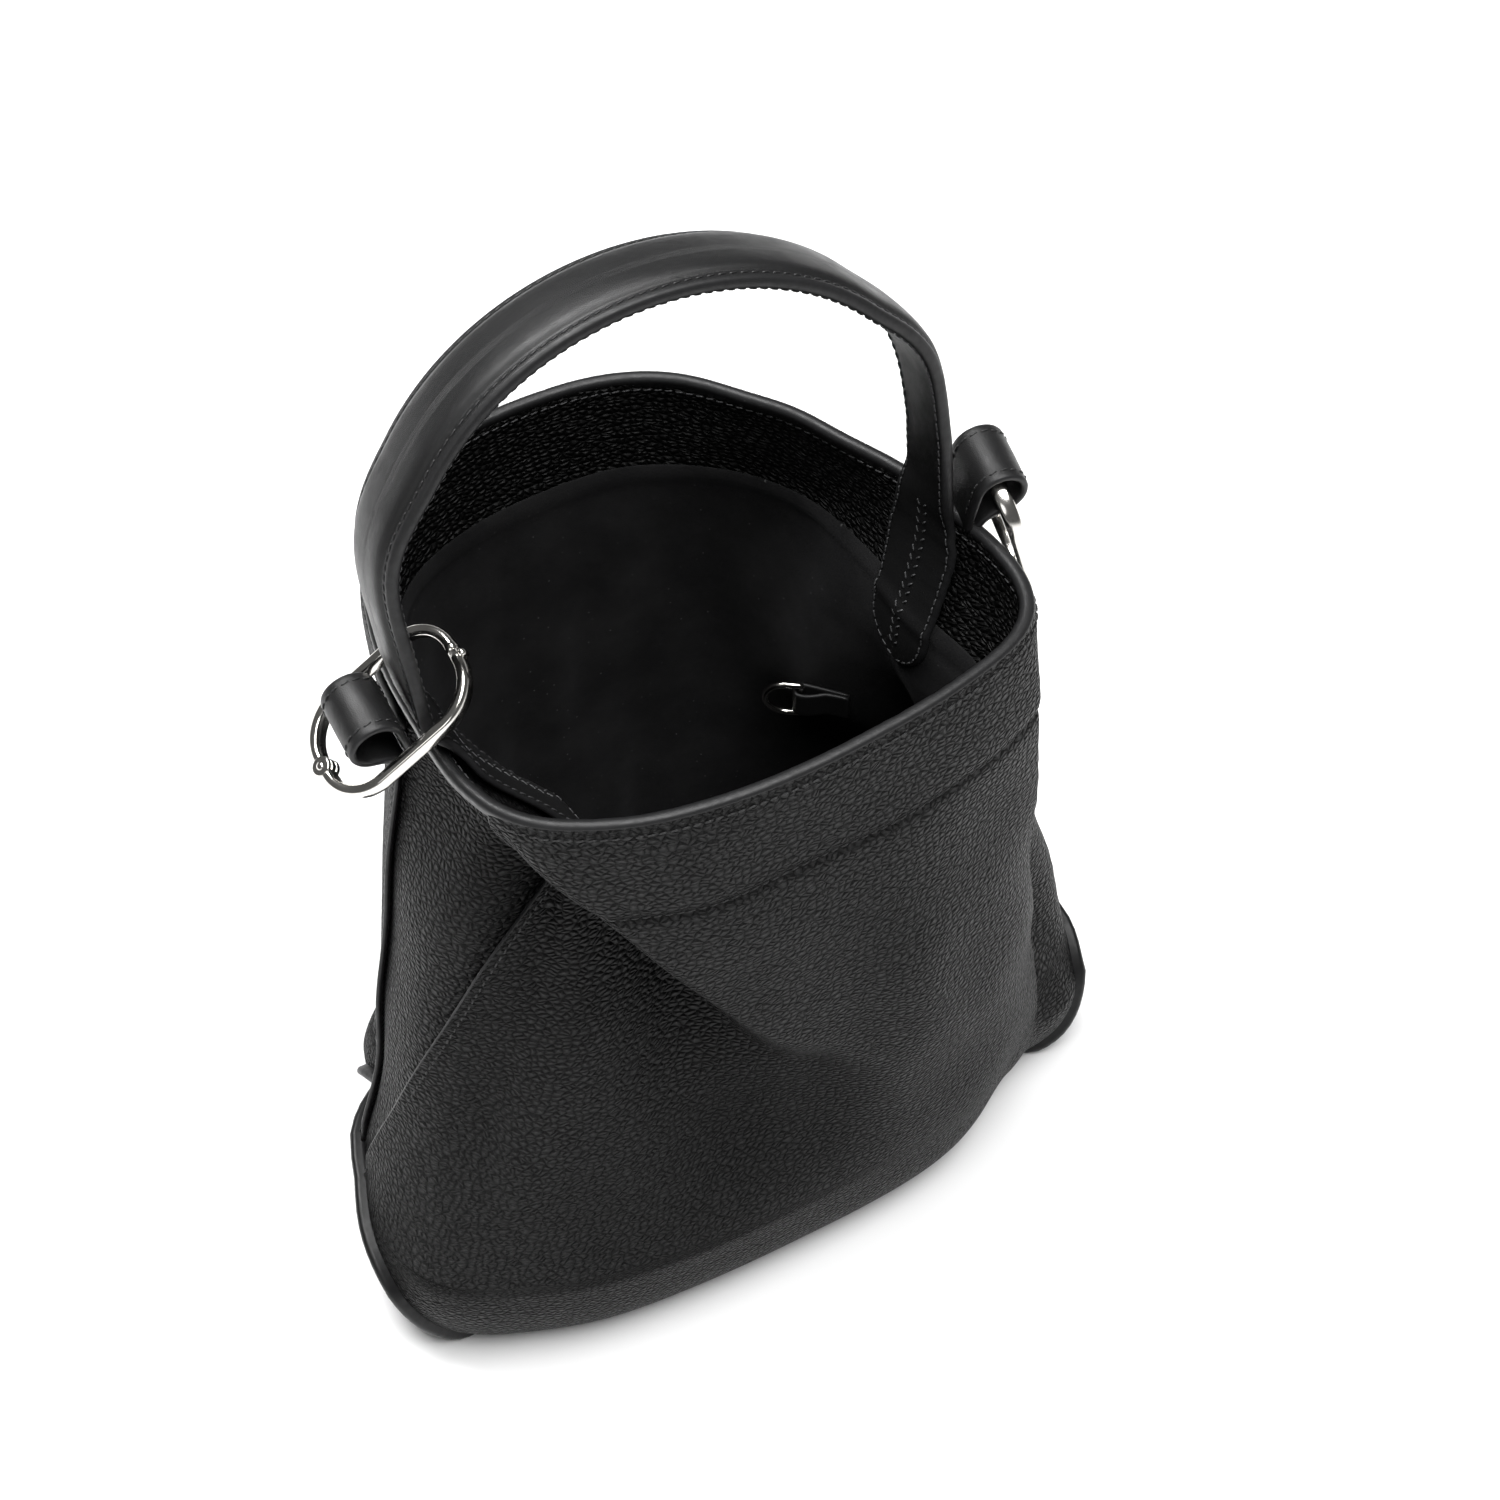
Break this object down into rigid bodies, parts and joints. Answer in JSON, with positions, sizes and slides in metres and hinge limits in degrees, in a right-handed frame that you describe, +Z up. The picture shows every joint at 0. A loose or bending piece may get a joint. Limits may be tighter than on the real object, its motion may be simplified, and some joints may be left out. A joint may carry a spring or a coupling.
{
  "type": "handbag",
  "caption": "Slouching pebbled-leather bucket handbag standing open, with an arched top handle, rolled loops, openable oval links and a small ring on a leather tab inside.",
  "frame": {"origin": "on the floor, under the middle of the base", "axes": "+Z up, +X from the left handle root to the right one, -Y towards the front"},
  "size_m": [0.2722, 0.1808, 0.3827],
  "materials": {
    "pebbled_leather": "pebbled black leather with a soft satin sheen",
    "smooth_leather": "smooth black leather, satin",
    "edge_paint": "painted cut edge, dark grey",
    "suede_lining": "black suede, matte and slightly dusty",
    "stiffener": "stiff fibre board, hidden",
    "polished_silver": "polished silver with a faint warm tint"
  },
  "bodies": {
    "bag": {"front_panel": "pebbled_leather", "back_panel": "pebbled_leather", "gusset_left": "pebbled_leather", "gusset_right": "pebbled_leather", "end_cap_left": "pebbled_leather", "end_cap_right": "pebbled_leather", "end_welt_left": "edge_paint", "end_welt_right": "edge_paint", "base_board": "stiffener", "lining": "suede_lining", "rim_facing": "pebbled_leather", "handle_root_left": "smooth_leather", "handle_root_right": "smooth_leather", "loop_left": "smooth_leather", "loop_right": "smooth_leather", "d_ring_tab": "smooth_leather"},
    "handle": {"handle_core": "stiffener", "handle_outer": "smooth_leather", "handle_inner": "smooth_leather"},
    "link_left": {"link_left_frame": "polished_silver", "link_left_pin": "polished_silver"},
    "link_left_gate": {"link_left_gate": "polished_silver"},
    "link_right": {"link_right_frame": "polished_silver", "link_right_pin": "polished_silver"},
    "link_right_gate": {"link_right_gate": "polished_silver"},
    "key_ring": {"d_ring": "polished_silver"}
  },
  "joints": [
    {"name": "handle_tilt", "type": "hinge", "parent": "bag", "child": "handle", "pos_m": [-0.0018, 0.00851, 0.29627], "axis": [1, 0, 0], "range_deg": [-40, 40]},
    {"name": "link_left_swing", "type": "hinge", "parent": "bag", "child": "link_left", "pos_m": [-0.0816, 0.0042, 0.28], "axis": [0, 1, 0], "range_deg": [-5, 6]},
    {"name": "link_left_open", "type": "hinge", "parent": "link_left", "child": "link_left_gate", "pos_m": [-0.1094, 0.0042, 0.26189], "axis": [-0.5446, 0, 0.8387], "range_deg": [-35, 0]},
    {"name": "link_right_swing", "type": "hinge", "parent": "bag", "child": "link_right", "pos_m": [0.0972, -0.00021, 0.2783], "axis": [0.1564, 0.9877, 0], "range_deg": [-80, 0]},
    {"name": "link_right_open", "type": "hinge", "parent": "link_right", "child": "link_right_gate", "pos_m": [0.10988, -0.00222, 0.23039], "axis": [-0.954, 0.1511, -0.2588], "range_deg": [-35, 0]},
    {"name": "key_ring_swing", "type": "hinge", "parent": "bag", "child": "key_ring", "pos_m": [0.05355, 0.02975, 0.155], "axis": [0, 0, 1], "range_deg": [0, 110]}
  ]
}
